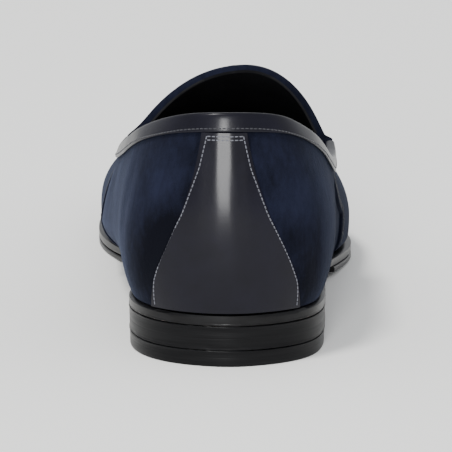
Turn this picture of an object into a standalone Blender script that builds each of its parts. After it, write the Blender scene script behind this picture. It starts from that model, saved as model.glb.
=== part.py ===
"""A velvet slipper loafer for the right foot, standing empty on its sole.

The toe points along +Y and the outer side of the foot is +X. Sizes are in millimetres and become metres
where a mesh is made. The shoe is drawn with the back of its heel at y = 0 and the middle of its heel at
x = 0, and it is then moved so that the origin is at the bottom centre of its box.
"""

from collections import namedtuple
import math

import bmesh
import bpy
import numpy as np

NAME = "velvet_slipper_loafer"
MM = 0.001

# Driving sizes
LENGTH = 262.0
TOE_TIP_X = 1.0
PAIRS = 36
GAP = 0.3
LEATHER_SOLE = 3.2
RUBBER_SOLE = 1.9
TOP_LIFT = 5.0
HEEL_TAPER = 0.3
HEEL_RUN = 88.0
WALL = 1.8
VAMP_STEP = 1.1
LASTING_MARGIN = 7.0
INSOLE = 2.4
STRIP_THICKNESS = 0.6
STRIP_GAP = 0.55
STRIP_SHIFT = -2.3
BINDING_DROP = 5.2
BINDING_INSIDE_DROP = 4.2
BINDING_LEATHER = 0.7
BINDING_CROWN = 1.0
BINDING_SHOULDER = 0.2
BINDING_ROUND = 0.5
BINDING_AIM = 2.0
BINDING_END = 2.6
BINDING_GAP = 0.5
HEEL_EDGE = 0.3
RUBBER_EDGE = 0.4
INSOLE_EDGE = 0.4
INSOLE_CLEAR = 0.6

# The sole's edge seen from above: how far it reaches to each side of the heel's middle
Outline = namedtuple("Outline", "y medial lateral")
OUTLINE = (
    Outline(5, 16.4, 16.8),
    Outline(14, 25.6, 26.0),
    Outline(26, 30.2, 30.0),
    Outline(40, 30.6, 31.3),
    Outline(55, 27.3, 32.4),
    Outline(70, 23.2, 32.2),
    Outline(85, 21.1, 32.6),
    Outline(100, 20.1, 34.6),
    Outline(115, 20.4, 37.8),
    Outline(130, 23.2, 42.2),
    Outline(145, 28.6, 46.6),
    Outline(160, 33.9, 48.5),
    Outline(175, 36.7, 47.2),
    Outline(190, 36.8, 43.5),
    Outline(205, 35.2, 39.0),
    Outline(220, 31.7, 34.2),
    Outline(234, 27.3, 29.0),
    Outline(246, 22.0, 23.4),
    Outline(256, 14.8, 16.2),
)

# The underside of the leather sole: height above the floor, and the bevel along the medial waist
Under = namedtuple("Under", "y height bevel_width bevel_height")
UNDER = (
    Under(0, 13.0, 0.4, 0.4),
    Under(30, 12.9, 0.4, 0.4),
    Under(55, 12.2, 0.5, 0.5),
    Under(75, 10.8, 2.5, 1.2),
    Under(92, 8.4, 7.0, 2.2),
    Under(110, 5.8, 8.0, 2.4),
    Under(126, 3.9, 5.0, 1.8),
    Under(142, 2.7, 1.2, 0.8),
    Under(156, 2.2, 0.4, 0.4),
    Under(188, 2.2, 0.4, 0.4),
    Under(205, 2.6, 0.4, 0.4),
    Under(220, 3.8, 0.4, 0.4),
    Under(235, 5.8, 0.4, 0.4),
    Under(250, 8.6, 0.4, 0.4),
    Under(262, 11.4, 0.4, 0.4),
)

# How far in and up the middle of that bevel lies, as shares of its width and height
BEVEL_MIDDLE_IN = 0.4
BEVEL_MIDDLE_UP = 0.3

# The upper's lower wall: its inset from the sole's edge, then how far it swells and at what height
Wall = namedtuple("Wall", "y inset medial_swell medial_height lateral_swell lateral_height")
WALLS = (
    Wall(0, 1.0, 3.0, 23, 3.0, 23),
    Wall(20, 1.0, 3.6, 21, 3.6, 21),
    Wall(45, 1.0, 5.2, 18, 4.4, 19),
    Wall(62, 1.0, 11.2, 16, 4.8, 18),
    Wall(75, 1.0, 15.2, 15, 5.2, 17),
    Wall(98, 1.0, 18.4, 14, 4.6, 15),
    Wall(112, 1.1, 18.6, 13, 3.6, 13),
    Wall(126, 1.4, 16.2, 12, 2.4, 12),
    Wall(147, 2.2, 8.2, 11, 0.8, 10),
    Wall(171, 2.5, 1.6, 10, 0.5, 9),
    Wall(200, 2.5, 0.5, 9, 0.4, 8.5),
    Wall(262, 2.5, 0.4, 8, 0.4, 8),
)
WALL_ANGLES = (30, 60, 90)
WALL_ROUNDNESS = 0.5

# The top of the closed form: its height, its place and how square each side's shoulder is
Ridge = namedtuple("Ridge", "y height x spread medial_shoulder lateral_shoulder")
RIDGE = (
    Ridge(60, 97.5, 8.0, 2.3, 1.4, 2.1),
    Ridge(80, 86.5, 9.0, 2.3, 1.4, 2.1),
    Ridge(97, 76.4, 9.0, 2.3, 1.4, 2.1),
    Ridge(105, 71.7, 8.6, 2.3, 1.4, 2.1),
    Ridge(115, 66.1, 7.6, 2.25, 1.5, 2.05),
    Ridge(130, 58.4, 5.8, 2.15, 1.7, 2.0),
    Ridge(150, 49.8, 3.6, 2.05, 1.85, 1.9),
    Ridge(170, 42.2, 2.0, 2.1, 1.9, 1.9),
    Ridge(190, 37.0, 0.5, 2.2, 2.0, 2.0),
    Ridge(210, 33.4, 0.0, 2.3, 2.0, 2.0),
    Ridge(228, 31.2, 0.5, 2.3, 2.0, 2.0),
    Ridge(262, 28.6, 1.0, 2.3, 2.0, 2.0),
)
TOE_ROUNDING = 25.0
TOE_POWER = 2.2

# The collar's edge, from the back of the heel to the ears of the vamp
Collar = namedtuple("Collar", "y medial lateral medial_height lateral_height")
COLLAR_BACK = 4.5
COLLAR_TOP = 78.2
COLLAR = (
    Collar(6, 8.0, 8.0, 78.0, 77.8),
    Collar(11, 15.3, 15.5, 76.5, 76.0),
    Collar(20, 21.6, 22.0, 73.2, 71.4),
    Collar(32, 26.8, 28.0, 68.6, 65.2),
    Collar(46, 30.0, 31.9, 63.0, 57.8),
    Collar(62, 31.4, 34.5, 57.8, 52.8),
    Collar(78, 31.4, 36.1, 54.6, 50.4),
    Collar(92, 30.2, 37.1, 52.9, 49.8),
    Collar(103, 28.6, 37.2, 52.2, 50.6),
)

# Where the threads of the upper run: from a place on the sole's edge to a place on the collar
Lean = namedtuple("Lean", "foot top")
LEAN = (
    Lean(1, 4.5),
    Lean(10, 12.5),
    Lean(25, 25.5),
    Lean(45, 43.5),
    Lean(62, 58.5),
    Lean(80, 73),
    Lean(98, 85),
    Lean(112, 94),
    Lean(126, 103),
)
EAR_FOOT = 126.0
EAR_Y = 103.0
TONGUE_Y = 97.0
TONGUE_CURVE = 1.3
FRONT_BEGINS = 78.0
COVER_ROWS = 9
COVER_EASE = 1.8

# The leather strip over the back seam: half its width at heights above the floor
Strip = namedtuple("Strip", "height half_width")
STRIP = (
    Strip(17.2, 25.2),
    Strip(25.6, 23.8),
    Strip(34.8, 19.8),
    Strip(48.0, 13.6),
    Strip(62.6, 8.8),
    Strip(72.2, 6.9),
)
STRIP_ROWS = 13
STRIP_COLUMNS = 14

# Round cuts: the hollow front of the heel and the rear edge of the forefoot rubber
Cut = namedtuple("Cut", "x y radius")
HEEL_BREAST = Cut(14.9, 121.1, 55.4)
RUBBER_REAR = Cut(44.7, 329.7, 206.8)
CUT_SIDES = 160
CUTTER_HEIGHT = 80.0

# Rows of the upper's surface, counted from the inner edge of the lasting margin
FEATHER_ROW = 1
WALL_ROW = 2

Coat = namedtuple("Coat", "colour roughness")
VELVET = Coat((0.016, 0.021, 0.046), 0.9)
NAVY_LEATHER = Coat((0.020, 0.020, 0.029), 0.35)
HEEL_LEATHER = Coat((0.007, 0.007, 0.008), 0.35)
WAIST_LEATHER = Coat((0.115, 0.078, 0.072), 0.45)
SOLE_RUBBER = Coat((0.024, 0.024, 0.028), 0.75)
SOCK_LEATHER = Coat((0.012, 0.012, 0.014), 0.5)


def clear_scene():
    """Removes every object that the file starts with."""
    for thing in list(bpy.data.objects):
        bpy.data.objects.remove(thing, do_unlink=True)


def column(table, name):
    """One named column of a table, as an array."""
    return np.array([getattr(row, name) for row in table], float)


def smooth(at, values, where):
    """A smooth curve through the values, read at any places."""
    where = np.clip(np.asarray(where, float), at[0], at[-1])
    steps = np.diff(at)
    slopes = np.diff(values) / steps
    tangents = np.empty_like(values)
    tangents[0] = slopes[0]
    tangents[-1] = slopes[-1]
    tangents[1:-1] = (slopes[:-1] * steps[1:] + slopes[1:] * steps[:-1]) / (steps[:-1] + steps[1:])
    tangents[1:-1][slopes[:-1] * slopes[1:] <= 0] = 0
    cell = np.clip(np.searchsorted(at, where) - 1, 0, len(at) - 2)
    step = steps[cell]
    t = (where - at[cell]) / step
    start = values[cell] * (1 + 2 * t) * (1 - t) ** 2 + step * tangents[cell] * t * (1 - t) ** 2
    end = values[cell + 1] * t**2 * (3 - 2 * t) - step * tangents[cell + 1] * t**2 * (1 - t)
    return start + end


def read(table, name, where):
    """A named column of a table, read smoothly at any places along its first column."""
    return smooth(column(table, table[0]._fields[0]), column(table, name), where)


def rounded_path(corners, closed, steps=16):
    """A smooth curve through points, as many short steps."""
    corners = np.array(corners, float)
    if closed:
        corners = np.vstack([corners[-1:], corners, corners[:2]])
    else:
        corners = np.vstack([2 * corners[0] - corners[1], corners, 2 * corners[-1] - corners[-2]])
    points = []
    for four in zip(corners, corners[1:], corners[2:], corners[3:]):
        lengths = np.linalg.norm(np.diff(four, axis=0), axis=1)
        knots = np.concatenate([[0], np.cumsum(np.sqrt(lengths))])
        for t in np.linspace(knots[1], knots[2], steps, endpoint=False):
            points.append(between_corners(four, knots, t))
    if not closed:
        points.append(corners[-2])
    return np.array(points)


def between_corners(four, knots, t):
    """A point of the smooth curve between the middle two of four corners."""
    straight = [blend(four[i], four[i + 1], t, knots[i], knots[i + 1]) for i in range(3)]
    bent = [blend(straight[i], straight[i + 1], t, knots[i], knots[i + 2]) for i in range(2)]
    return blend(bent[0], bent[1], t, knots[1], knots[2])


def blend(one, other, t, low, high):
    """A mix of two points, for t between low and high."""
    return one * (high - t) / (high - low) + other * (t - low) / (high - low)


def sole_edge():
    """The sole's edge seen from above, as a fine closed curve, anticlockwise from the heel."""
    corners = [(0.0, 0.0)]
    corners += [(row.lateral, row.y) for row in OUTLINE]
    corners += [(TOE_TIP_X, LENGTH)]
    corners += [(-row.medial, row.y) for row in reversed(OUTLINE)]
    return rounded_path(corners, closed=True)


def outward(curve):
    """The outward direction at each point of a closed curve that runs anticlockwise."""
    along = np.roll(curve, -1, axis=0) - np.roll(curve, 1, axis=0)
    normal = np.stack([along[:, 1], -along[:, 0]], axis=1)
    return normal / np.linalg.norm(normal, axis=1, keepdims=True)


def station_rows():
    """The places along the shoe of the stations, close together at both ends."""
    turn = np.linspace(0, math.pi, PAIRS + 1)
    return LENGTH / 2 * (1 - np.cos(turn))


def at_stations(curve, values):
    """Values along the sole's edge, read at the stations: heel, outer side, toe, inner side."""
    toe = int(np.argmax(curve[:, 1]))
    rows = station_rows()
    count = len(curve)
    places = np.arange(count + 1)
    lateral = np.interp(rows, curve[: toe + 1, 1], places[: toe + 1])
    medial_y = np.append(curve[toe:, 1], curve[0, 1])[::-1]
    medial = np.interp(rows[1:-1], medial_y, places[toe:][::-1])[::-1]
    where = np.concatenate([lateral, medial])
    wrapped = np.vstack([values, values[:1]])
    return np.stack([np.interp(where, places, wrapped[:, i]) for i in range(values.shape[1])], axis=1)


def is_medial(points):
    """Which points of a loop of stations are on the inner side, beyond the toe in the loop's order."""
    toe = int(np.argmax(points[:, 1]))
    return np.arange(len(points)) > toe


def with_height(plan, height):
    """Points in the plan lifted to a height."""
    return np.column_stack([plan, np.broadcast_to(height, len(plan))])


def under_height(y):
    """The height of the leather sole's underside."""
    return read(UNDER, "height", y)


def feather_height(y):
    """The height at which the upper meets the sole."""
    return under_height(y) + LEATHER_SOLE + GAP


class Last:
    """The loops of the shoe's form: the sole's edge, the feather line and the widest line."""

    def __init__(self):
        fine = sole_edge()
        fine_out = outward(fine)
        self.edge = at_stations(fine, fine)
        out = at_stations(fine, fine_out)
        self.out = out / np.linalg.norm(out, axis=1, keepdims=True)
        self.medial = is_medial(self.edge)
        y = self.edge[:, 1]
        self.feather = self.edge - self.out * read(WALLS, "inset", y)[:, None]
        swell = self.sided("swell", self.medial, y)
        self.widest = self.feather + self.out * swell[:, None]
        self.widest_height = feather_height(y) + self.sided("height", self.medial, y)
        fine_medial = is_medial(fine)
        fine_y = fine[:, 1]
        fine_swell = self.sided("swell", fine_medial, fine_y) - read(WALLS, "inset", fine_y)
        self.widest_fine = fine + fine_out * fine_swell[:, None]
        self.toe = int(np.argmax(self.widest_fine[:, 1]))
        self.toe_y = self.widest_fine[self.toe, 1]

    def sided(self, what, medial, y):
        """A measure of the lower wall, from the inner side's column or the outer side's."""
        inner = read(WALLS, "medial_" + what, y)
        outer = read(WALLS, "lateral_" + what, y)
        return np.where(medial, inner, outer)

    def half_width(self, y, medial):
        """How far the widest line reaches from the ridge, on one side."""
        ridge = read(RIDGE, "x", y)
        outer = self.widest_fine[: self.toe + 1]
        inner = np.vstack([self.widest_fine[self.toe :], self.widest_fine[:1]])[::-1]
        lateral_x = np.interp(y, outer[:, 1], outer[:, 0])
        medial_x = np.interp(y, inner[:, 1], inner[:, 0])
        return np.where(medial, ridge - medial_x, lateral_x - ridge)

    def cover_height(self, plan):
        """The height of the closed form above a point of the plan."""
        x, y = plan[:, 0], plan[:, 1]
        ridge = read(RIDGE, "x", y)
        medial = x < ridge
        side = np.clip(np.abs(x - ridge) / np.maximum(self.half_width(y, medial), 0.01), 0, 1)
        low = feather_height(y) + self.sided("height", medial, y)
        left = np.clip((self.toe_y - y) / TOE_ROUNDING, 0, 1)
        rounding = (1 - (1 - left) ** TOE_POWER) ** (1 / TOE_POWER)
        rise = (read(RIDGE, "height", y) - low) * rounding
        spread = read(RIDGE, "spread", y)
        shoulder = np.where(medial, read(RIDGE, "medial_shoulder", y), read(RIDGE, "lateral_shoulder", y))
        return low + rise * (1 - side**spread) ** (1 / shoulder)


def collar_points(y, medial):
    """Points on the collar's edge, for places along the shoe and a side."""
    side = "medial" if medial else "lateral"
    sign = -1 if medial else 1
    rows = [(row.y, sign * getattr(row, side), getattr(row, side + "_height")) for row in COLLAR]
    across = (rows[0][0], -rows[0][1], rows[0][2])
    curve = rounded_path([across, (COLLAR_BACK, 0.0, COLLAR_TOP), *rows], closed=False)
    curve = curve[int(np.argmin(curve[:, 0])) :]
    return np.stack([np.interp(y, curve[:, 0], curve[:, i]) for i in (1, 0, 2)], axis=-1)


def opening_edge(last):
    """The edge of the opening above each station: the collar, then the top of the tongue."""
    toe = int(np.argmax(last.edge[:, 1]))
    points = np.zeros((len(last.edge), 3))
    steps = np.linalg.norm(np.diff(np.vstack([last.feather, last.feather[:1]]), axis=0), axis=1)
    run = np.concatenate([[0], np.cumsum(steps)[:-1]])
    for i, (x, y) in enumerate(last.feather):
        medial = bool(last.medial[i])
        if y <= EAR_FOOT:
            points[i] = collar_points(read(LEAN, "top", y), medial)
            continue
        side = last.medial == medial
        side[toe] = True
        ear_run = np.interp(EAR_FOOT, *sorted_pair(last.feather[side, 1], run[side]))
        share = (run[i] - run[toe]) / (ear_run - run[toe])
        ear = collar_points(EAR_Y, medial)
        plan_y = TONGUE_Y + (EAR_Y - TONGUE_Y) * share**TONGUE_CURVE
        middle = float(read(RIDGE, "x", plan_y))
        plan = np.array([[middle + (ear[0] - middle) * share, plan_y]])
        points[i] = [*plan[0], last.cover_height(plan)[0]]
    return points


def sorted_pair(keys, values):
    """Two arrays in the order of the first."""
    order = np.argsort(keys)
    return keys[order], values[order]


def ear_stations(last):
    """The numbers of the stations nearest the vamp's edge, on the outer side and on the inner side."""
    away = np.abs(last.feather[:, 1] - EAR_FOOT)
    return [int(np.argmin(np.where(last.medial == side, away, np.inf))) for side in (False, True)]


def add_ear_threads(last):
    """Moves one station on each side so that the vamp's edge lies exactly on its thread."""
    for i in ear_stations(last):
        after = i + 1 if last.feather[i + 1, 1] > last.feather[i, 1] else i - 1
        before = 2 * i - after
        other = after if last.feather[i, 1] < EAR_FOOT else before
        share = (EAR_FOOT - last.feather[i, 1]) / (last.feather[other, 1] - last.feather[i, 1])
        for name in ("edge", "out", "feather", "widest", "widest_height"):
            values = getattr(last, name)
            values[i] = values[i] + (values[other] - values[i]) * share


def upper_surface(last):
    """The upper's outer surface: rows from the lasting margin up to the opening, round all stations."""
    y = last.feather[:, 1]
    low = feather_height(y)
    margin = last.feather - last.out * LASTING_MARGIN
    rows = [with_height(margin, feather_height(margin[:, 1])), with_height(last.feather, low)]
    swell = np.linalg.norm(last.widest - last.feather, axis=1)
    rise = last.widest_height - low
    for angle in WALL_ANGLES:
        turn = math.radians(angle)
        plan = last.feather + last.out * (swell * math.sin(turn))[:, None]
        share = WALL_ROUNDNESS * (1 - math.cos(turn)) + (1 - WALL_ROUNDNESS) * angle / WALL_ANGLES[-1]
        rows.append(with_height(plan, low + rise * share))
    top = opening_edge(last)
    front = np.clip((y - FRONT_BEGINS) / (EAR_FOOT - FRONT_BEGINS), 0, 1)
    front = front * front * (3 - 2 * front)
    for step in range(1, COVER_ROWS + 1):
        share = step / COVER_ROWS
        plan = last.widest + (top[:, :2] - last.widest) * share**COVER_EASE
        straight = last.widest_height + (top[:, 2] - last.widest_height) * share
        height = straight + (last.cover_height(plan) - straight) * front
        if step == COVER_ROWS:
            height = top[:, 2]
        rows.append(with_height(plan, height))
    return np.array(rows)


def surface_normals(surface):
    """The outward direction at each point of a surface that runs round the shoe."""
    around = np.roll(surface, -1, axis=1) - np.roll(surface, 1, axis=1)
    up = np.gradient(surface, axis=0)
    normal = np.cross(around, up)
    return normal / np.linalg.norm(normal, axis=2, keepdims=True)


def lining_surface(last, surface):
    """The upper's inner surface, one wall inside its outer surface."""
    lining = surface - surface_normals(surface) * WALL
    out = surface[2, :, :2] - surface[1, :, :2]
    climb = surface[2, :, 2] - surface[1, :, 2]
    angle = np.arctan2(climb, np.sum(out * last.out, axis=1))
    inset = WALL * np.tan(angle / 2)
    lining[0] = surface[0] + (0, 0, WALL)
    lining[1, :, :2] = surface[1, :, :2] - last.out * inset[:, None]
    lining[1, :, 2] = feather_height(lining[1, :, 1]) + WALL
    return lining


def make_object(name, mesh, coat, collection, parent):
    """An object in the shoe's collection, with a material of its own."""
    material = bpy.data.materials.new(name)
    material.use_nodes = True
    shader = material.node_tree.nodes["Principled BSDF"]
    shader.inputs["Base Color"].default_value = (*coat.colour, 1)
    shader.inputs["Roughness"].default_value = coat.roughness
    shader.inputs["Metallic"].default_value = 0
    mesh.materials.append(material)
    mesh.shade_smooth()
    mesh.set_sharp_from_angle(angle=math.radians(40))
    thing = bpy.data.objects.new(name, mesh)
    collection.objects.link(thing)
    thing.parent = parent
    return thing


def loft(name, rows, closed):
    """A surface through rows of points, as a mesh in metres. Closed rows run right round."""
    shape = bmesh.new()
    verts = [[shape.verts.new(point * MM) for point in row] for row in np.array(rows)]
    count = len(verts[0])
    for low, high in zip(verts, verts[1:]):
        for i in range(count if closed else count - 1):
            after = (i + 1) % count
            shape.faces.new((low[i], low[after], high[after], high[i]))
    return finish_mesh(name, shape)


def slab(name, loops):
    """A solid between loops of stations, from the top loop down, closed by rungs across both ends."""
    shape = bmesh.new()
    verts = [[shape.verts.new(point * MM) for point in loop] for loop in np.array(loops)]
    count = len(verts[0])
    for high, low in zip(verts, verts[1:]):
        for i in range(count):
            after = (i + 1) % count
            shape.faces.new((high[i], low[i], low[after], high[after]))
    for loop in (verts[0], verts[-1]):
        shape.faces.new((loop[0], loop[1], loop[-1]))
        for i in range(1, (count - 1) // 2):
            shape.faces.new((loop[i], loop[i + 1], loop[count - i - 1], loop[count - i]))
        if count % 2 == 0:
            shape.faces.new((loop[count // 2 - 1], loop[count // 2], loop[count // 2 + 1]))
    bmesh.ops.recalc_face_normals(shape, faces=shape.faces)
    return finish_mesh(name, shape)


def finish_mesh(name, shape):
    """Turns a bmesh into a mesh."""
    mesh = bpy.data.meshes.new(name)
    shape.to_mesh(mesh)
    shape.free()
    return mesh


def round_cutter(name, cut, collection, parent):
    """A tall round cutter standing on the plan."""
    shape = bmesh.new()
    radius = cut.radius * MM
    bmesh.ops.create_cone(
        shape, cap_ends=True, segments=CUT_SIDES, depth=CUTTER_HEIGHT * MM, radius1=radius, radius2=radius
    )
    thing = bpy.data.objects.new(name, finish_mesh(name, shape))
    thing.location = (cut.x * MM, cut.y * MM, 0)
    thing.display_type = "WIRE"
    thing.hide_render = True
    collection.objects.link(thing)
    thing.parent = parent
    return thing


def cut_with(thing, cutter, operation):
    """Cuts a piece with a cutter, or keeps what they share."""
    modifier = thing.modifiers.new(cutter.name, "BOOLEAN")
    modifier.operation = operation
    modifier.solver = "EXACT"
    modifier.object = cutter


def thicken(thing, thickness, group=None):
    """Gives a surface a wall on its outer side."""
    modifier = thing.modifiers.new("wall", "SOLIDIFY")
    modifier.thickness = thickness * MM
    modifier.offset = 1
    modifier.use_even_offset = True
    if group:
        modifier.vertex_group = group


def inset_plan(last, distance):
    """The sole's edge moved inwards."""
    return last.edge - last.out * np.broadcast_to(distance, len(last.edge))[:, None]


def make_outsole(last, collection, parent):
    """The leather sole, its lower edge bevelled widely along the medial waist."""
    y = last.edge[:, 1]
    low = under_height(y)
    narrow = np.full(len(y), UNDER[0].bevel_width)
    width = np.where(last.medial, read(UNDER, "bevel_width", y), narrow)
    height = np.where(last.medial, read(UNDER, "bevel_height", y), narrow)
    middle = inset_plan(last, width * BEVEL_MIDDLE_IN)
    loops = [
        with_height(last.edge, low + LEATHER_SOLE),
        with_height(last.edge, low + height),
        with_height(middle, low + height * BEVEL_MIDDLE_UP),
        with_height(inset_plan(last, width), low),
    ]
    mesh = slab("outsole", loops)
    return make_object("outsole", mesh, WAIST_LEATHER, collection, parent)


def make_forefoot_rubber(last, collection, cutters, parent):
    """The thin rubber half sole under the forefoot, flush with the sole's edge."""
    y = last.edge[:, 1]
    low = under_height(y) - GAP
    edge = inset_plan(last, UNDER[0].bevel_width)
    loops = [
        with_height(edge, low),
        with_height(last.edge, low - RUBBER_EDGE),
        with_height(last.edge, low - RUBBER_SOLE + RUBBER_EDGE),
        with_height(edge, low - RUBBER_SOLE),
    ]
    mesh = slab("forefoot_rubber", loops)
    rubber = make_object("forefoot_rubber", mesh, SOLE_RUBBER, collection, parent)
    cutter = round_cutter("rubber_rear", RUBBER_REAR, cutters, parent)
    cut_with(rubber, cutter, "INTERSECT")
    return rubber


def heel_stations(last):
    """The numbers of the stations round the heel, up to the run of the heel's blank."""
    y = last.edge[:, 1]
    lateral = [i for i in range(len(y)) if not last.medial[i] and y[i] < HEEL_RUN]
    medial = [i for i in range(len(y)) if last.medial[i] and y[i] < HEEL_RUN]
    return lateral + medial


def make_heel_piece(name, last, top, bottom, coat, collection, cutter, parent):
    """A layer of the heel, tapered a little towards the floor, its front hollowed in a curve."""
    around = heel_stations(last)
    loops = []
    sides = ((top, HEEL_EDGE), (top - HEEL_EDGE, 0.0), (bottom + HEEL_EDGE, 0.0), (bottom, HEEL_EDGE))
    for height, chamfer in sides:
        height = np.broadcast_to(height, len(last.edge))
        full = under_height(last.edge[:, 1])
        plan = inset_plan(last, chamfer + HEEL_TAPER * (1 - height / full))
        loops.append(with_height(plan, height)[around])
    piece = make_object(name, slab(name, loops), coat, collection, parent)
    cut_with(piece, cutter, "DIFFERENCE")
    return piece


def make_insole(last, collection, parent):
    """The inner sole, lying on the upper's lasting margin."""
    plan = last.feather - last.out * (WALL + INSOLE_CLEAR)
    low = feather_height(plan[:, 1]) + WALL + GAP
    top_plan = plan - last.out * INSOLE_EDGE
    loops = [
        with_height(top_plan, low + INSOLE),
        with_height(plan, low + INSOLE - INSOLE_EDGE),
        with_height(plan, low),
    ]
    return make_object("insole", slab("insole", loops), SOCK_LEATHER, collection, parent)


def make_upper(last, surface, collection, parent):
    """The hollow upper, its vamp standing proud of the quarters along the two ear threads."""
    lining = lining_surface(last, surface)
    ears = ear_stations(last)
    columns = []
    vamp = []
    for i in range(lining.shape[1]):
        if i == ears[0]:
            columns += [lining[:, i], lining[:, i] + sideways(lining, i, 1)]
            vamp += [False, True]
        elif i == ears[1]:
            columns += [lining[:, i] + sideways(lining, i, -1), lining[:, i]]
            vamp += [True, False]
        else:
            columns.append(lining[:, i])
            vamp.append(ears[0] < i < ears[1])
    rows = np.array(columns).transpose(1, 0, 2)
    upper = make_object("upper", loft("upper", rows, closed=True), VELVET, collection, parent)
    group = upper.vertex_groups.new(name="cover")
    count = len(vamp)
    thin = WALL / (WALL + VAMP_STEP)
    for row in range(len(rows)):
        for i in range(count):
            weight = 1.0 if vamp[i] and row >= WALL_ROW else thin
            group.add([row * count + i], weight, "REPLACE")
    thicken(upper, WALL + VAMP_STEP, "cover")
    return upper


def sideways(lining, i, way):
    """A short step along a row, from one thread towards the next."""
    step = lining[:, (i + way) % lining.shape[1]] - lining[:, i]
    return step / np.linalg.norm(step, axis=1, keepdims=True) * GAP


def slice_at(surface, height):
    """The line on the outer surface at a height, round the back of the shoe, from side to side."""
    count = surface.shape[1]
    half = count // 4
    order = [i % count for i in range(-half, half + 1)]
    points = []
    for i in order:
        thread = surface[FEATHER_ROW:, i]
        points.append([np.interp(height, thread[:, 2], thread[:, axis]) for axis in range(3)])
    return np.array(points)


def along_slice(line, distances):
    """Points at distances along a slice, measured from the back seam in its middle."""
    steps = np.linalg.norm(np.diff(line, axis=0), axis=1)
    run = np.concatenate([[0], np.cumsum(steps)])
    run -= run[len(line) // 2]
    return np.stack([np.interp(distances, run, line[:, axis]) for axis in range(3)], axis=1)


def make_heel_strip(surface, collection, parent):
    """The leather strip over the back seam, flaring down to the heel."""
    heights = np.linspace(STRIP[0].height, STRIP[-1].height, STRIP_ROWS)
    shares = np.linspace(-1, 1, STRIP_COLUMNS + 1)
    rows = []
    for height in heights:
        half = float(read(STRIP, "half_width", height))
        rows.append(along_slice(slice_at(surface, height), shares * half + STRIP_SHIFT))
    rows = np.array(rows)
    across = np.gradient(rows, axis=1)
    up = np.gradient(rows, axis=0)
    normal = np.cross(across, up)
    normal /= np.linalg.norm(normal, axis=2, keepdims=True)
    rows = rows + normal * STRIP_GAP
    mesh = loft("heel_strip", rows, closed=False)
    strip = make_object("heel_strip", mesh, NAVY_LEATHER, collection, parent)
    thicken(strip, STRIP_THICKNESS)
    return strip


def below_top(thread, drop):
    """The point of a thread of the surface that is a distance below its top, along the thread."""
    steps = np.linalg.norm(np.diff(thread[::-1], axis=0), axis=1)
    run = np.concatenate([[0], np.cumsum(steps)])
    return np.array([np.interp(drop, run, thread[::-1][:, axis]) for axis in range(3)])


def binding_section(thread, out):
    """The binding's outline across the collar's edge, round the top of one thread of the surface."""
    top = thread[-1]
    up = top - below_top(thread, BINDING_AIM)
    up /= np.linalg.norm(up)
    low = below_top(thread, BINDING_DROP)
    low_inside = below_top(thread, BINDING_INSIDE_DROP)
    near = BINDING_GAP
    far = BINDING_GAP + BINDING_LEATHER
    return [
        low + out * far,
        top + out * far + up * BINDING_SHOULDER,
        top + out * (far - BINDING_ROUND) + up * BINDING_CROWN,
        top - out * (WALL + far - BINDING_ROUND) + up * BINDING_CROWN,
        top - out * (WALL + far) + up * BINDING_SHOULDER,
        low_inside - out * (WALL + far),
        low_inside - out * (WALL + near),
        top - out * (WALL + near) + up * near,
        top + out * near + up * near,
        low + out * near,
    ]


def make_collar_binding(last, surface, collection, parent):
    """The leather folded over the quarters' top edge, from one ear of the vamp to the other."""
    count = surface.shape[1]
    lateral_ear, medial_ear = ear_stations(last)
    order = [i % count for i in range(medial_ear - count, lateral_ear + 1)]
    normals = surface_normals(surface)
    sections = []
    for place, i in enumerate(order):
        steady = order[min(max(place, 1), len(order) - 2)]
        sections.append(binding_section(surface[WALL_ROW:, i], normals[-1, steady]))
    sections = np.array(sections)
    for end, inner in ((0, 1), (-1, -2)):
        step = sections[inner] - sections[end]
        sections[end] += step / np.linalg.norm(step, axis=1, keepdims=True) * BINDING_END
    mesh = tube("collar_binding", sections)
    return make_object("collar_binding", mesh, NAVY_LEATHER, collection, parent)


def tube(name, sections):
    """A solid strip through like sections, closed at both ends."""
    shape = bmesh.new()
    verts = [[shape.verts.new(point * MM) for point in section] for section in sections]
    count = len(verts[0])
    for one, other in zip(verts, verts[1:]):
        for i in range(count):
            after = (i + 1) % count
            shape.faces.new((one[i], one[after], other[after], other[i]))
    shape.faces.new(verts[0])
    shape.faces.new(verts[-1])
    bmesh.ops.triangulate(shape, faces=[face for face in shape.faces if len(face.verts) > 4])
    bmesh.ops.recalc_face_normals(shape, faces=shape.faces)
    return finish_mesh(name, shape)


def stand_at_origin(parent, pieces):
    """Moves the shoe so that the origin is at the bottom centre of its box."""
    view = bpy.context.evaluated_depsgraph_get()
    corners = []
    for piece in pieces:
        shown = piece.evaluated_get(view)
        corners += [shown.matrix_world @ vert.co for vert in shown.data.vertices]
    corners = np.array(corners)
    middle = (corners.min(axis=0) + corners.max(axis=0)) / 2
    parent.location = (-middle[0], -middle[1], -corners[:, 2].min())


def build():
    """Builds every piece of the shoe and stands it on the floor."""
    clear_scene()
    collection = bpy.data.collections.new(NAME)
    cutters = bpy.data.collections.new("cutters")
    bpy.context.scene.collection.children.link(collection)
    bpy.context.scene.collection.children.link(cutters)
    parent = bpy.data.objects.new(NAME, None)
    collection.objects.link(parent)

    last = Last()
    add_ear_threads(last)
    surface = upper_surface(last)
    breast = round_cutter("heel_breast", HEEL_BREAST, cutters, parent)
    block_top = under_height(last.edge[:, 1]) - GAP
    pieces = [
        make_heel_piece("top_lift", last, TOP_LIFT, 0.0, SOLE_RUBBER, collection, breast, parent),
        make_heel_piece(
            "heel_block", last, block_top, TOP_LIFT + GAP, HEEL_LEATHER, collection, breast, parent
        ),
        make_outsole(last, collection, parent),
        make_forefoot_rubber(last, collection, cutters, parent),
        make_insole(last, collection, parent),
        make_upper(last, surface, collection, parent),
        make_heel_strip(surface, collection, parent),
        make_collar_binding(last, surface, collection, parent),
    ]
    bpy.context.view_layer.update()
    stand_at_origin(parent, pieces)


build()
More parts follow.
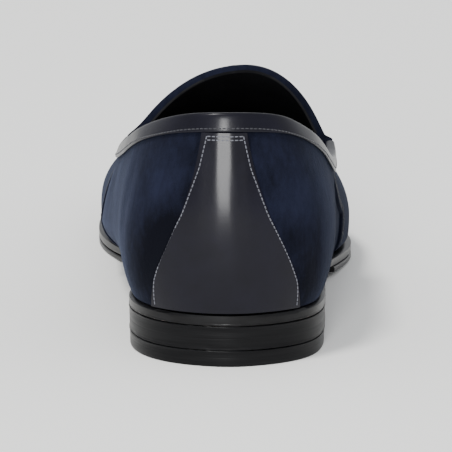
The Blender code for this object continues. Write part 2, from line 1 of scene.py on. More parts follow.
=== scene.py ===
"""Dresses the velvet slipper loafer: navy velvet, polished leather, stitches and an inked sole."""
from collections import namedtuple
import math

import bpy
import numpy as np
from mathutils import Matrix, Vector
from mathutils.bvhtree import BVHTree


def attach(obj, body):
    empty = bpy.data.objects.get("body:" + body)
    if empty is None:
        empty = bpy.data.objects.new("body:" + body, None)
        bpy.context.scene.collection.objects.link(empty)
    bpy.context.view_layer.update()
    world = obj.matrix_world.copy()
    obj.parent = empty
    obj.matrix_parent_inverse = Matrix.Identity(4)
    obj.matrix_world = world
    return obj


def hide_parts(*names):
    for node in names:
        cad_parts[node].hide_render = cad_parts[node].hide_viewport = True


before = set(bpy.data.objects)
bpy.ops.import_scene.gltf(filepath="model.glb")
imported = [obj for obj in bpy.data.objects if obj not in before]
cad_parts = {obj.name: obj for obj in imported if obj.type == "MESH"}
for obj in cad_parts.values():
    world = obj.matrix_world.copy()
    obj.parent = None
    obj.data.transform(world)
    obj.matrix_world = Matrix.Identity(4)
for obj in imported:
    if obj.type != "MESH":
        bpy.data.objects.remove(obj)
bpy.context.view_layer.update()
MM = 0.001

# The shoe's own frame: the heel's middle and the back of the heel, from the origin under the box
HEEL_X = -5.34 * MM
HEEL_Y = -129.44 * MM
HEEL_TURN_Y = 30 * MM
HEEL_RADIUS = 30.5 * MM
HEEL_END = 88 * MM

# The middle line of the shoe's inside: level in the forefoot, and free to rise in the heel
AXIS_X = 4 * MM
AXIS_BACK = 30 * MM
AXIS_FRONT = 228 * MM
AXIS_LOW = 26 * MM
AXIS_HIGH = 50 * MM
AXIS_LEVEL_FROM = 100 * MM

# The photograph's view: the standing shoe from behind, a little above and from its inner side
CAMERA_AZIMUTH = -2.8
CAMERA_ELEVATION = 12.5
CAMERA_DISTANCE = 1.50
LENS = 390.0
AIM_HEIGHT = 36 * MM
AIM_AHEAD = 40 * MM
CAMERA_SIGHT = 50

# The floor, the room's light and the two lamps with their places, in metres
FLOOR_SIZE = 12
FLOOR_AHEAD = 3
ROOM_COLOUR = (0.95, 0.97, 1.0)
ROOM_STRENGTH = 0.90
KEY_COLOUR = (1.0, 0.99, 0.965)
KEY_ENERGY = 2.2
KEY_SOFTNESS = 12
KEY_PLACE = (-0.55, -0.70, 1.60)
SHINE_WIDTH = 0.50
SHINE_HEIGHT = 1.25
SHINE_ENERGY = 66
SHINE_PLACE = (-0.42, -2.6, 0.67)

# How a copy of a solid is refined: distances in metres, angles in degrees
MERGE = 0.02 * MM
QUAD_TURN = 40
QUAD_SKEW = 50
SUBDIVISIONS = 2
SMOOTH_ANGLE = 38
DOWNWARD = -0.9
RIM_FLAT = 0.97
RIM_STEEP = 0.25

# The seams that carry stitches, in millimetres from the back of the heel and above the floor
StripEdge = namedtuple("StripEdge", "height half_width")
STRIP_EDGE = (
    StripEdge(17.8, 25.1),
    StripEdge(25.6, 23.8),
    StripEdge(34.8, 19.8),
    StripEdge(48.0, 13.6),
    StripEdge(62.6, 8.8),
    StripEdge(72.3, 6.9),
)
STRIP_INSET = 0.8
STRIP_SHIFT = -2.3
STRIP_TOP = 71.6
STRIP_TUCK = 0.8
VampSeam = namedtuple("VampSeam", "lateral_y lateral_height medial_y medial_height")
VAMP_SEAM = (
    VampSeam(125.7, 10.5, 124.2, 10.5),
    VampSeam(125.4, 16.0, 122.8, 16.0),
    VampSeam(123.8, 22.0, 122.2, 22.8),
    VampSeam(119.8, 24.5, 119.8, 28.5),
    VampSeam(114.6, 28.7, 115.4, 35.7),
    VampSeam(109.6, 33.6, 110.6, 41.0),
    VampSeam(105.6, 41.2, 106.4, 45.6),
)
BAR_HEIGHTS = (72.1, 71.0)
BINDING_FAR = 70 * MM
BINDING_NEAR = 2 * MM
BINDING_STITCH_UP = 1.0 * MM
VAMP_ROWS_AHEAD = (1.6 * MM, 3.4 * MM)
VAMP_ROW_RISE = 1 / 3
JOINT_FILL = 0.24 * MM
JOINT_REACH = 0.13 * MM
STITCH_LENGTH = 1.05 * MM
STITCH_WIDTH = 0.40 * MM
STITCH_SPACING = 1.4 * MM

# Level rays that find where the stitches lie
RAY_RUN = 0.2
FACING = -0.5
STRIP_RAYS = 40
BAR_RAYS = 12
SIDE_RAYS = 34
ROUND_RAYS = 61
VAMP_RAYS = 36
SEARCH_LOW = 42 * MM
SEARCH_HIGH = 80 * MM
SEARCH_STEP = 0.3 * MM
EVENED = 7

# Soft troughs that lasting leaves in the quarters and the vamp, from one point to another
Trough = namedtuple("Trough", "x y z to_x to_y to_z width depth")
TROUGHS = (
    Trough(-13, 0, 66, -22, 4, 40, 3.0, 0.55),
    Trough(-22, 5, 44, -29, 12, 22, 3.5, 0.60),
    Trough(-30, 24, 62, -35, 30, 30, 5.0, 0.50),
    Trough(16, 0, 62, 24, 5, 40, 3.2, 0.45),
    Trough(24, 6, 42, 30, 14, 22, 3.6, 0.55),
    Trough(34, 40, 52, 38, 60, 26, 5.0, 0.45),
    Trough(-31, 60, 56, -36, 84, 30, 5.0, 0.45),
    Trough(-24, 118, 50, -30, 140, 28, 4.5, 0.40),
    Trough(28, 122, 46, 38, 146, 26, 4.5, 0.40),
    Trough(-14, 160, 42, 18, 152, 46, 4.5, 0.35),
    Trough(-20, 172, 34, 22, 166, 38, 4.0, 0.30),
)
TROUGH_END = 0.12
TROUGH_REACH = 3

# How the pile is brushed, with painted light and shade: patches above 0 are lighter, below 0 darker;
# those high on the quarters are painted sheen, those beside the strip and low on the back and sides
# painted shade, those further forward the pile's own tone
Patch = namedtuple("Patch", "x y z radius shade")
NAP_AND_LIGHT_PATCHES = (
    Patch(-25, 7, 57, 9, 0.55),
    Patch(-31, 26, 50, 12, 0.30),
    Patch(-12, 0, 67, 4, -0.60),
    Patch(-14, 0, 54, 4, -0.50),
    Patch(-19, 3, 44, 6, -0.60),
    Patch(-24, 7, 38, 7, -0.60),
    Patch(-27, 8, 25, 11, -0.70),
    Patch(-36, 50, 30, 12, -0.25),
    Patch(25, 8, 52, 9, 0.60),
    Patch(33, 34, 44, 12, 0.25),
    Patch(13, 0, 58, 4, -0.50),
    Patch(19, 3, 40, 5, -0.50),
    Patch(26, 9, 26, 8, -0.50),
    Patch(38, 66, 34, 12, -0.20),
    Patch(36, 92, 34, 12, 0.25),
    Patch(-34, 88, 40, 12, 0.25),
    Patch(-14, 122, 56, 12, 0.25),
    Patch(24, 126, 50, 12, -0.20),
    Patch(4, 150, 48, 14, 0.25),
    Patch(-26, 166, 26, 12, -0.25),
    Patch(32, 172, 26, 14, 0.20),
    Patch(2, 196, 36, 14, -0.20),
    Patch(-14, 214, 30, 12, 0.22),
    Patch(14, 226, 28, 12, 0.15),
)
# The even level of the pile's tone and the painted light and shade
EVEN_NAP_AND_LIGHT = 0.42

# Velvet: a shaded and a lit navy, mixed for painted light and shade as well as the pile's tone
VELVET_SHADED_NAVY = (0.0014, 0.0017, 0.0042)
VELVET_LIT = (0.0092, 0.0112, 0.0250)
VELVET_SHEEN = (0.21, 0.26, 0.42)
CALF_NAVY = (0.0018, 0.0016, 0.0046)
HEEL_INK = (0.0016, 0.0016, 0.0021)
HEEL_FIBRE = (0.0055, 0.0055, 0.0062)
SOLE_INK = (0.0028, 0.0026, 0.0030)
WAIST_BROWN = (0.090, 0.059, 0.054)
WAIST_DARK = (0.052, 0.032, 0.029)
RUBBER_BLACK = (0.016, 0.016, 0.019)
RUBBER_WORN = (0.025, 0.025, 0.029)
LINING_BLACK = (0.0032, 0.0032, 0.0042)
THREAD_GREY = (0.15, 0.155, 0.19)
THREAD_NAVY = (0.012, 0.013, 0.024)
PAPER_PALE = (0.95, 0.95, 0.93)


# Materials


def new_material(name):
    """An empty Principled material with its nodes, links and shader."""
    material = bpy.data.materials.new(name)
    material.use_nodes = True
    tree = material.node_tree
    return material, tree.nodes, tree.links, tree.nodes["Principled BSDF"]


def set_sockets(shader, **values):
    """Sets the shader's own sockets, named in plain words with underscores."""
    for name, value in values.items():
        shader.inputs[name.replace("_", " ")].default_value = value


def pattern(nodes, links, kind, scale, stretch=(1, 1, 1), **settings):
    """A texture in the object's own metres, scaled and stretched."""
    place = nodes.new("ShaderNodeTexCoord")
    mapping = nodes.new("ShaderNodeMapping")
    mapping.inputs["Scale"].default_value = stretch
    texture = nodes.new(kind)
    texture.inputs["Scale"].default_value = scale
    for name, value in settings.items():
        texture.inputs[name.replace("_", " ")].default_value = value
    links.new(place.outputs["Object"], mapping.inputs["Vector"])
    links.new(mapping.outputs["Vector"], texture.inputs["Vector"])
    return texture


def mixed(nodes, links, factor, one, other):
    """A colour between two, by a factor."""
    ramp = nodes.new("ShaderNodeMix")
    ramp.data_type = "RGBA"
    ramp.inputs["A"].default_value = (*one, 1)
    ramp.inputs["B"].default_value = (*other, 1)
    links.new(factor, ramp.inputs["Factor"])
    return ramp.outputs["Result"]


def ranged(nodes, links, value, low, high, to_low=0.0, to_high=1.0):
    """A value mapped from one range to another."""
    change = nodes.new("ShaderNodeMapRange")
    change.inputs["From Min"].default_value = low
    change.inputs["From Max"].default_value = high
    change.inputs["To Min"].default_value = to_low
    change.inputs["To Max"].default_value = to_high
    links.new(value, change.inputs["Value"])
    return change.outputs["Result"]


def summed(nodes, links, one, other):
    """Two values added, kept between 0 and 1 by the colour mix that reads them."""
    add = nodes.new("ShaderNodeMath")
    add.operation = "ADD"
    links.new(one, add.inputs[0])
    links.new(other, add.inputs[1])
    return add.outputs["Value"]


def bumped(nodes, links, shader, layers):
    """Adds layers of relief, each a height, its depth in metres and its strength."""
    below = None
    for height, depth, strength in layers:
        bump = nodes.new("ShaderNodeBump")
        bump.inputs["Distance"].default_value = depth
        bump.inputs["Strength"].default_value = strength
        links.new(height, bump.inputs["Height"])
        if below:
            links.new(below, bump.inputs["Normal"])
        below = bump.outputs["Normal"]
    links.new(below, shader.inputs["Normal"])


def navy_velvet():
    """Short-pile velvet between a shaded and a lit navy: light where the pile is brushed one way or
    painted sheen lies, dark where it lies the other or painted shade lies.
    """
    material, nodes, links, shader = new_material("navy_velvet")
    # The attribute holds the pile's tone together with painted sheen and painted shade
    nap_and_painted_light = nodes.new("ShaderNodeAttribute")
    nap_and_painted_light.attribute_name = "nap_and_painted_light"
    brushed = pattern(nodes, links, "ShaderNodeTexNoise", 75, (1, 1, 0.7), Detail=4.0, Roughness=0.6)
    streaks = pattern(nodes, links, "ShaderNodeTexNoise", 520, (1, 1, 0.45), Detail=3.0, Roughness=0.6)
    pile = pattern(nodes, links, "ShaderNodeTexNoise", 3600, (1, 1, 1), Detail=2.0, Roughness=0.7)
    wide = ranged(nodes, links, brushed.outputs["Fac"], 0.30, 0.70, -0.24, 0.24)
    fine = ranged(nodes, links, streaks.outputs["Fac"], 0.30, 0.70, -0.16, 0.16)
    speck = ranged(nodes, links, pile.outputs["Fac"], 0.30, 0.70, -0.16, 0.16)
    share = nap_and_painted_light.outputs["Fac"]
    for layer in (wide, fine, speck):
        share = summed(nodes, links, share, layer)
    # The mix paints light and shade: towards the lit navy for painted sheen, towards the shaded navy for
    # painted shade
    links.new(mixed(nodes, links, share, VELVET_SHADED_NAVY, VELVET_LIT), shader.inputs["Base Color"])
    set_sockets(shader, Roughness=0.95, Specular_IOR_Level=0.08, Sheen_Weight=0.15, Sheen_Roughness=0.35)
    shader.inputs["Sheen Tint"].default_value = (*VELVET_SHEEN, 1)
    bumped(nodes, links, shader, [(wide, 0.0006, 0.3), (fine, 0.0003, 0.4), (speck, 0.00015, 0.6)])
    return material


def calf_leather(name, colour, roughness, specular, coat):
    """Smooth polished calf with a fine grain and faint rubbed clouds."""
    material, nodes, links, shader = new_material(name)
    grain = pattern(nodes, links, "ShaderNodeTexVoronoi", 1500, (1, 1, 1), Randomness=1.0)
    cloud = pattern(nodes, links, "ShaderNodeTexNoise", 90, (1, 1, 1), Detail=4.0, Roughness=0.6)
    ripple = pattern(nodes, links, "ShaderNodeTexNoise", 420, (1, 1, 1), Detail=2.0)
    lighter = tuple(part * 1.6 for part in colour)
    soft = ranged(nodes, links, cloud.outputs["Fac"], 0.35, 0.7)
    links.new(mixed(nodes, links, soft, colour, lighter), shader.inputs["Base Color"])
    rough = ranged(nodes, links, cloud.outputs["Fac"], 0.3, 0.75, roughness - 0.04, roughness + 0.07)
    links.new(rough, shader.inputs["Roughness"])
    set_sockets(shader, Specular_IOR_Level=specular, Coat_Weight=coat, Coat_Roughness=0.19)
    layers = [(ripple.outputs["Fac"], 0.0002, 0.10), (grain.outputs["Distance"], 0.00006, 0.30)]
    bumped(nodes, links, shader, layers)
    return material


def heel_stack():
    """The stacked heel's inked and polished edge, with the fine lines of its layers."""
    material, nodes, links, shader = new_material("heel_stack")
    lines = pattern(nodes, links, "ShaderNodeTexNoise", 60, (0.4, 0.4, 14), Detail=3.0, Roughness=0.7)
    layers = pattern(nodes, links, "ShaderNodeTexWave", 1.0, (0, 0, 105), Distortion=0.6, Detail=1.0)
    layers.bands_direction = "Z"
    fibre = ranged(nodes, links, lines.outputs["Fac"], 0.3, 0.7)
    groove = ranged(nodes, links, layers.outputs["Fac"], 0.0, 0.12)
    links.new(mixed(nodes, links, fibre, HEEL_INK, HEEL_FIBRE), shader.inputs["Base Color"])
    rough = ranged(nodes, links, lines.outputs["Fac"], 0.3, 0.7, 0.30, 0.44)
    links.new(rough, shader.inputs["Roughness"])
    set_sockets(shader, Specular_IOR_Level=0.09, Coat_Weight=0.05, Coat_Roughness=0.2)
    bumped(nodes, links, shader, [(fibre, 0.0001, 0.3), (groove, 0.0001, 0.25)])
    return material


def sole_edge_ink():
    """The sole's edge: leather set with hot wax and black ink."""
    material, nodes, links, shader = new_material("sole_edge_ink")
    cloud = pattern(nodes, links, "ShaderNodeTexNoise", 160, (1, 1, 3), Detail=3.0)
    soft = ranged(nodes, links, cloud.outputs["Fac"], 0.35, 0.7)
    links.new(mixed(nodes, links, soft, SOLE_INK, HEEL_FIBRE), shader.inputs["Base Color"])
    set_sockets(shader, Roughness=0.33, Specular_IOR_Level=0.14, Coat_Weight=0.08, Coat_Roughness=0.18)
    bumped(nodes, links, shader, [(cloud.outputs["Fac"], 0.0002, 0.15)])
    return material


def waist_leather():
    """The sole's brown leather, burnished, darker in places."""
    material, nodes, links, shader = new_material("waist_leather")
    cloud = pattern(nodes, links, "ShaderNodeTexNoise", 55, (1, 0.5, 1), Detail=5.0, Roughness=0.65)
    fibre = pattern(nodes, links, "ShaderNodeTexNoise", 900, (1, 0.25, 1), Detail=3.0)
    soft = ranged(nodes, links, cloud.outputs["Fac"], 0.3, 0.72)
    links.new(mixed(nodes, links, soft, WAIST_DARK, WAIST_BROWN), shader.inputs["Base Color"])
    rough = ranged(nodes, links, cloud.outputs["Fac"], 0.3, 0.7, 0.36, 0.5)
    links.new(rough, shader.inputs["Roughness"])
    set_sockets(shader, Coat_Weight=0.2, Coat_Roughness=0.3)
    bumped(nodes, links, shader, [(fibre.outputs["Fac"], 0.0001, 0.2)])
    return material


def grained_rubber():
    """Matt black sole rubber with a fine pebble grain."""
    material, nodes, links, shader = new_material("grained_rubber")
    pebble = pattern(nodes, links, "ShaderNodeTexVoronoi", 1150, (1, 1, 1), Randomness=0.9)
    dust = pattern(nodes, links, "ShaderNodeTexNoise", 120, (1, 1, 1), Detail=5.0, Roughness=0.7)
    soft = ranged(nodes, links, dust.outputs["Fac"], 0.35, 0.75)
    links.new(mixed(nodes, links, soft, RUBBER_BLACK, RUBBER_WORN), shader.inputs["Base Color"])
    set_sockets(shader, Roughness=0.7, Specular_IOR_Level=0.3)
    bumped(nodes, links, shader, [(pebble.outputs["Distance"], 0.0002, 0.6)])
    return material


def waxed_thread(name, colour):
    """Sewing thread with its twist."""
    material, nodes, links, shader = new_material(name)
    twist = pattern(nodes, links, "ShaderNodeTexWave", 900, (1, 1, 1), Distortion=0.2)
    darker = tuple(part * 0.6 for part in colour)
    links.new(mixed(nodes, links, twist.outputs["Fac"], darker, colour), shader.inputs["Base Color"])
    set_sockets(shader, Roughness=0.55, Sheen_Weight=0.2)
    bumped(nodes, links, shader, [(twist.outputs["Fac"], 0.00005, 0.4)])
    return material


def plain_paper():
    """The pale floor."""
    material, nodes, links, shader = new_material("plain_paper")
    shader.inputs["Base Color"].default_value = (*PAPER_PALE, 1)
    set_sockets(shader, Roughness=0.95, Specular_IOR_Level=0.1)
    return material


# Copies of the solids, refined


def choose_only(thing):
    """Makes one object the selected and active one."""
    bpy.ops.object.select_all(action="DESELECT")
    thing.select_set(True)
    bpy.context.view_layer.objects.active = thing


def refined_copy(node, name, crease_angle, crease):
    """A copy of a solid as quads, its sharp edges creased, with a subdivision surface applied."""
    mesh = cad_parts[node].data.copy()
    mesh.name = name
    mesh.materials.clear()
    thing = bpy.data.objects.new(name, mesh)
    bpy.context.scene.collection.objects.link(thing)
    choose_only(thing)
    bpy.ops.mesh.customdata_custom_splitnormals_clear()
    bpy.ops.object.mode_set(mode="EDIT")
    bpy.ops.mesh.select_all(action="SELECT")
    bpy.ops.mesh.remove_doubles(threshold=MERGE)
    turn, skew = math.radians(QUAD_TURN), math.radians(QUAD_SKEW)
    bpy.ops.mesh.tris_convert_to_quads(face_threshold=turn, shape_threshold=skew)
    bpy.ops.mesh.select_all(action="DESELECT")
    bpy.ops.mesh.select_mode(type="EDGE")
    bpy.ops.mesh.edges_select_sharp(sharpness=math.radians(crease_angle))
    bpy.ops.transform.edge_crease(value=crease)
    bpy.ops.object.mode_set(mode="OBJECT")
    surface = thing.modifiers.new("round", "SUBSURF")
    surface.levels = SUBDIVISIONS
    surface.render_levels = SUBDIVISIONS
    bpy.ops.object.modifier_apply(modifier=surface.name)
    bpy.ops.object.shade_smooth_by_angle(angle=math.radians(SMOOTH_ANGLE))
    return thing


def paint(thing, materials, which):
    """Gives a piece its materials and each face the one that a rule names by its place and direction."""
    for material in materials:
        thing.data.materials.append(material)
    for face in thing.data.polygons:
        face.material_index = which(face.center, face.normal)


def shoe_axis(point):
    """The middle of the shoe's inside, level with a point."""
    y = min(max(point.y, HEEL_Y + AXIS_BACK), HEEL_Y + AXIS_FRONT)
    high = AXIS_LOW if point.y > HEEL_Y + AXIS_LEVEL_FROM else AXIS_HIGH
    return Vector((HEEL_X + AXIS_X, y, max(AXIS_LOW, min(point.z, high))))


def inside(center, normal):
    """1 for a face that looks into the shoe, else 0."""
    return 1 if normal.dot(center - shoe_axis(center)) < 0 else 0


def looks_down(center, normal):
    """1 for a face of the sole that looks at the floor, else 0."""
    return 1 if normal.z < DOWNWARD else 0


def all_over(center, normal):
    """0 for every face of a piece that has one material."""
    return 0


def finish_piece(thing, node):
    """Lets a piece stand for a solid and ride with the shoe."""
    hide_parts(node)
    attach(thing, "root")
    return thing


def shape_tree(thing):
    """The surface of a piece, to place things on it."""
    mesh = thing.data
    mesh.calc_loop_triangles()
    points = [vert.co for vert in mesh.vertices]
    return BVHTree.FromPolygons(points, [tuple(triangle.vertices) for triangle in mesh.loop_triangles])


# Stitches


def stitch_row(points, normals):
    """Even places along a path, each with its direction and its way out of the leather."""
    points = np.array(points)
    normals = np.array(normals)
    run = np.concatenate([[0], np.cumsum(np.linalg.norm(np.diff(points, axis=0), axis=1))])
    count = max(2, int(round(run[-1] / STITCH_SPACING)))
    where = (np.arange(count) + 0.5) / count * run[-1]
    half = STITCH_SPACING / 2
    places = []
    for at in where:
        here = Vector([np.interp(at, run, points[:, i]) for i in range(3)])
        ahead = Vector([np.interp(at + half, run, points[:, i]) for i in range(3)])
        behind = Vector([np.interp(at - half, run, points[:, i]) for i in range(3)])
        out = Vector([np.interp(at, run, normals[:, i]) for i in range(3)]).normalized()
        places.append((here, (ahead - behind).normalized(), out))
    return places


def sew(name, rows, material):
    """Stitches along rows of places: one is modelled, and its copies are joined."""
    bpy.ops.object.select_all(action="DESELECT")
    lying = (0, math.pi / 2, 0)
    bpy.ops.mesh.primitive_cylinder_add(
        vertices=8, radius=STITCH_WIDTH / 2, depth=STITCH_LENGTH, rotation=lying
    )
    first = bpy.context.object
    bpy.ops.object.transform_apply(location=False, rotation=True, scale=True)
    bpy.ops.object.mode_set(mode="EDIT")
    bpy.ops.mesh.select_all(action="SELECT")
    bpy.ops.mesh.bevel(offset=STITCH_WIDTH * 0.3, segments=2, affect="EDGES")
    bpy.ops.object.mode_set(mode="OBJECT")
    pattern_mesh = first.data
    copies = []
    for row in rows:
        for here, along, out in row:
            side = out.cross(along).normalized()
            out = along.cross(side)
            mesh = pattern_mesh.copy()
            thing = bpy.data.objects.new(name, mesh)
            turned = [(along[i], side[i], out[i], here[i]) for i in range(3)]
            mesh.transform(Matrix(turned + [(0, 0, 0, 1)]))
            bpy.context.scene.collection.objects.link(thing)
            copies.append(thing)
    bpy.data.objects.remove(first, do_unlink=True)
    bpy.ops.object.select_all(action="DESELECT")
    for thing in copies:
        thing.select_set(True)
    bpy.context.view_layer.objects.active = copies[0]
    bpy.ops.object.join()
    sewn = bpy.context.object
    sewn.name = name
    sewn.data.name = name
    sewn.data.materials.clear()
    sewn.data.materials.append(material)
    bpy.ops.object.shade_smooth()
    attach(sewn, "root")
    return sewn


def level_ray(turn, height, behind=0.0):
    """A level ray from outside the shoe: round the heel by an angle, then along a side from its end."""
    side = math.copysign(1, turn)
    angle = side * min(abs(turn), math.pi / 2)
    toward = Vector((-math.sin(angle), math.cos(angle), 0))
    start = Vector((HEEL_X, HEEL_Y + HEEL_TURN_Y + behind, height)) - toward * RAY_RUN
    return start, toward


def traced(tree, rays):
    """The places where rays meet a surface, and the surface's directions there."""
    points, normals = [], []
    for start, toward in rays:
        hit, normal, _, _ = tree.ray_cast(start, toward)
        if hit:
            points.append(hit)
            normals.append(normal)
    return points, normals


def strip_edge_rows(tree):
    """The stitch lines just inside both edges of the heel strip."""
    heights = [row.height * MM for row in STRIP_EDGE]
    half_widths = [(row.half_width - STRIP_INSET) * MM for row in STRIP_EDGE]
    rows = []
    for side in (-1, 1):
        rays = []
        for height in np.linspace(heights[0], heights[-1], STRIP_RAYS):
            reach = side * np.interp(height, heights, half_widths) + STRIP_SHIFT * MM
            rays.append(level_ray(reach / HEEL_RADIUS, height))
        rows.append(stitch_row(*traced(tree, rays)))
    return rows


def strip_bar_rows(tree):
    """The bar of two rows sewn across the strip under the binding."""
    reach = STRIP_EDGE[-1].half_width - STRIP_INSET
    turns = (np.linspace(-reach, reach, BAR_RAYS) + STRIP_SHIFT) * MM / HEEL_RADIUS
    rows = []
    for height in BAR_HEIGHTS:
        rays = [level_ray(turn, height * MM) for turn in turns]
        rows.append(stitch_row(*traced(tree, rays)))
    return rows


def binding_row(tree):
    """The stitch line just above the binding's lower edge, from ear to ear."""
    side_run = np.linspace(BINDING_NEAR, BINDING_FAR, SIDE_RAYS)
    stations = [(-math.pi / 2, behind) for behind in side_run[::-1]]
    stations += [(turn, 0.0) for turn in np.linspace(-math.pi / 2, math.pi / 2, ROUND_RAYS)]
    stations += [(math.pi / 2, behind) for behind in side_run]
    stations = [station for station in stations if lowest_met(tree, *station)]
    lows = [lowest_met(tree, *station) for station in stations]
    reach = EVENED // 2
    longer = [lows[0]] * reach + lows + [lows[-1]] * reach
    even = np.convolve(longer, np.full(EVENED, 1 / EVENED), mode="valid")
    rays = []
    for (turn, behind), low in zip(stations, even):
        rays.append(level_ray(turn, low + BINDING_STITCH_UP, behind))
    return stitch_row(*traced(tree, rays))


def lowest_met(tree, turn, behind):
    """The lowest height at which a level ray meets the outer face of a piece, or None."""
    for height in np.arange(SEARCH_LOW, SEARCH_HIGH, SEARCH_STEP):
        start, toward = level_ray(turn, height, behind)
        hit, normal, _, _ = tree.ray_cast(start, toward, RAY_RUN)
        if hit and normal.dot(toward) < FACING:
            return height
    return None


def vamp_rows(tree):
    """Two stitch lines on the vamp beside its edge, on each side of the shoe."""
    rows = []
    for side, name in ((1, "lateral"), (-1, "medial")):
        heights = [getattr(row, name + "_height") * MM for row in VAMP_SEAM]
        places = [getattr(row, name + "_y") * MM for row in VAMP_SEAM]
        for ahead in VAMP_ROWS_AHEAD:
            rays = []
            for height in np.linspace(heights[0], heights[-1], VAMP_RAYS):
                behind = np.interp(height, heights, places) + ahead - HEEL_TURN_Y
                rays.append(level_ray(side * math.pi / 2, height + ahead * VAMP_ROW_RISE, behind))
            rows.append(stitch_row(*traced(tree, rays)))
    return rows


# What the finished pieces are


def press_troughs(thing):
    """Presses the soft troughs into both faces of the upper, so that its wall keeps its thickness."""
    heel = Vector((HEEL_X, HEEL_Y, 0))
    for trough in TROUGHS:
        start = heel + Vector((trough.x, trough.y, trough.z)) * MM
        along = heel + Vector((trough.to_x, trough.to_y, trough.to_z)) * MM - start
        for vert in thing.data.vertices:
            share = min(max((vert.co - start).dot(along) / along.length_squared, 0.0), 1.0)
            away = (vert.co - start - along * share).length / (trough.width * MM)
            if away < TROUGH_REACH:
                fade = math.sin(math.pi * (TROUGH_END + (1 - 2 * TROUGH_END) * share))
                inward = (shoe_axis(vert.co) - vert.co).normalized()
                vert.co += inward * trough.depth * MM * fade * math.exp(-away * away)


def brush_nap_and_paint_light(thing):
    """Writes how each part of the pile is brushed, with painted sheen and painted shade, for the
    velvet's colour.
    """
    heel = Vector((HEEL_X, HEEL_Y, 0))
    nap_and_painted_light = thing.data.attributes.new("nap_and_painted_light", "FLOAT", "POINT")
    for vert in thing.data.vertices:
        shade = EVEN_NAP_AND_LIGHT
        for patch in NAP_AND_LIGHT_PATCHES:
            middle = heel + Vector((patch.x, patch.y, patch.z)) * MM
            away = (vert.co - middle).length / (patch.radius * MM)
            shade += patch.shade * math.exp(-away * away)
        nap_and_painted_light.data[vert.index].value = shade


def dress_upper(velvet, lining):
    """The velvet upper with its black lining."""
    upper = refined_copy("upper", "velvet_upper", crease_angle=50, crease=0.75)
    press_troughs(upper)
    # Painted sheen and painted shade go into the velvet's colour with the pile's tone
    brush_nap_and_paint_light(upper)
    paint(upper, [velvet, lining], inside)
    return finish_piece(upper, "upper")


def dress_strip(calf):
    """The leather over the back seam, its top tucked under the binding."""
    strip = refined_copy("heel_strip", "back_strip", crease_angle=50, crease=0.7)
    for vert in strip.data.vertices:
        if vert.co.z > STRIP_TOP * MM:
            vert.co.z += STRIP_TUCK * MM
    paint(strip, [calf], all_over)
    return finish_piece(strip, "heel_strip")


def dress_binding(calf):
    """The leather folded over the quarters' edge."""
    binding = refined_copy("collar_binding", "folded_binding", crease_angle=60, crease=0.35)
    paint(binding, [calf], all_over)
    return finish_piece(binding, "collar_binding")


def dress_sole(ink, brown):
    """The outsole: inked edges, brown underside."""
    sole = refined_copy("outsole", "leather_sole", crease_angle=35, crease=0.8)
    close_joints(sole, (-1,), HEEL_Y + HEEL_END)
    paint(sole, [ink, brown], looks_down)
    return finish_piece(sole, "outsole")


def dress_insole(sock):
    """The sock over the inner sole."""
    insole = refined_copy("insole", "sock", crease_angle=50, crease=0.5)
    paint(insole, [sock], all_over)
    return finish_piece(insole, "insole")


def close_joints(thing, ways, front):
    """Fills out a layer's rounded rims, upper (1) or lower (-1), so that its joints are fine lines."""
    for vert in thing.data.vertices:
        flat = Vector((vert.normal.x, vert.normal.y, 0))
        for way in ways:
            rounded = RIM_STEEP < flat.length < RIM_FLAT
            if rounded and vert.normal.z * way > 0 and vert.co.y < front:
                vert.co += flat.normalized() * JOINT_FILL + Vector((0, 0, way * JOINT_REACH))


def dress_heel_block(stack):
    """The stack of the heel, its curves refined and its joints closed."""
    block = refined_copy("heel_block", "stacked_heel", crease_angle=35, crease=0.9)
    close_joints(block, (-1, 1), HEEL_Y + HEEL_END)
    paint(block, [stack], all_over)
    return finish_piece(block, "heel_block")


def dress_top_lift(stack, rubber):
    """The heel's last layer: its side inked like the stack, its tread rubber."""
    lift = refined_copy("top_lift", "heel_top_lift", crease_angle=35, crease=0.9)
    close_joints(lift, (1,), HEEL_Y + HEEL_END)
    paint(lift, [stack, rubber], looks_down)
    return finish_piece(lift, "top_lift")


def dress_rubber(ink, rubber):
    """The forefoot's rubber: its edge inked with the sole's, its tread matt."""
    half_sole = refined_copy("forefoot_rubber", "half_sole", crease_angle=35, crease=0.9)
    paint(half_sole, [ink, rubber], looks_down)
    return finish_piece(half_sole, "forefoot_rubber")


def lay_floor(paper):
    """A wide, flat, pale floor."""
    bpy.ops.object.select_all(action="DESELECT")
    bpy.ops.mesh.primitive_plane_add(size=FLOOR_SIZE, location=(0, FLOOR_AHEAD, 0))
    floor = bpy.context.object
    floor.name = "paper_floor"
    floor.data.materials.append(paper)


def light_studio():
    """A pale room, a soft key from the camera's left and a tall narrow light for the leather's shine."""
    world = bpy.data.worlds.new("pale_room")
    bpy.context.scene.world = world
    world.use_nodes = True
    back = world.node_tree.nodes["Background"]
    back.inputs["Color"].default_value = (*ROOM_COLOUR, 1)
    back.inputs["Strength"].default_value = ROOM_STRENGTH
    key = bpy.data.lights.new("key", "SUN")
    key.energy = KEY_ENERGY
    key.angle = math.radians(KEY_SOFTNESS)
    key.color = KEY_COLOUR
    hang_light(key, KEY_PLACE)
    shine = bpy.data.lights.new("shine", "AREA")
    shine.shape = "RECTANGLE"
    shine.size = SHINE_WIDTH
    shine.size_y = SHINE_HEIGHT
    shine.energy = SHINE_ENERGY
    hang_light(shine, SHINE_PLACE)


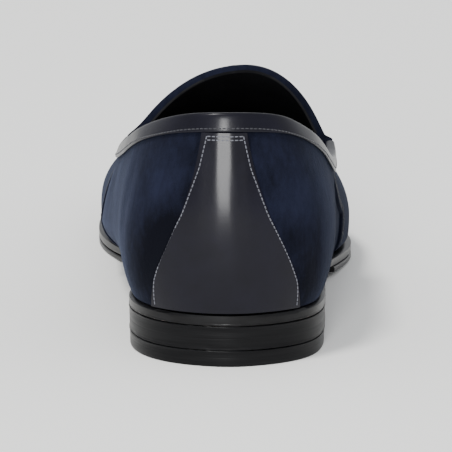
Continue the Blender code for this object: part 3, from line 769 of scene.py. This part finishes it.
def hang_light(light, place):
    """Hangs a light so that it looks at the shoe."""
    thing = bpy.data.objects.new(light.name, light)
    thing.location = place
    toward = Vector((HEEL_X, HEEL_Y, AIM_HEIGHT)) - Vector(place)
    thing.rotation_euler = toward.to_track_quat("-Z", "Y").to_euler()
    bpy.context.scene.collection.objects.link(thing)


def set_camera():
    """The camera at the photograph's angle to the shoe."""
    turn = math.radians(CAMERA_AZIMUTH)
    rise = math.radians(CAMERA_ELEVATION)
    away = Vector((math.sin(turn) * math.cos(rise), -math.cos(turn) * math.cos(rise), math.sin(rise)))
    heel = Vector((HEEL_X, HEEL_Y, AIM_HEIGHT))
    camera = bpy.data.objects.new("photo_view", bpy.data.cameras.new("photo_view"))
    camera.location = heel + away * CAMERA_DISTANCE
    aim = heel + Vector((0, AIM_AHEAD, 0))
    camera.rotation_euler = (aim - camera.location).to_track_quat("-Z", "Y").to_euler()
    camera.data.lens = LENS
    camera.data.clip_end = CAMERA_SIGHT
    bpy.context.scene.collection.objects.link(camera)
    bpy.context.scene.camera = camera


def main():
    """Dresses every piece, then lays the floor, lights it and sets the camera."""
    velvet = navy_velvet()
    calf = calf_leather("navy_calf", CALF_NAVY, roughness=0.36, specular=0.08, coat=0.27)
    lining = calf_leather("black_lining", LINING_BLACK, roughness=0.6, specular=0.2, coat=0.0)
    stack = heel_stack()
    ink = sole_edge_ink()
    rubber = grained_rubber()
    upper = dress_upper(velvet, lining)
    strip = dress_strip(calf)
    binding = dress_binding(calf)
    dress_sole(ink, waist_leather())
    dress_insole(lining)
    dress_heel_block(stack)
    dress_top_lift(stack, rubber)
    dress_rubber(ink, rubber)

    grey = waxed_thread("grey_thread", THREAD_GREY)
    navy = waxed_thread("navy_thread", THREAD_NAVY)
    strip_tree = shape_tree(strip)
    sew("strip_stitches", strip_edge_rows(strip_tree), grey)
    sew("bar_stitches", strip_bar_rows(strip_tree), grey)
    sew("binding_stitches", [binding_row(shape_tree(binding))], navy)
    sew("vamp_stitches", vamp_rows(shape_tree(upper)), navy)
    lay_floor(plain_paper())
    light_studio()
    set_camera()


main()
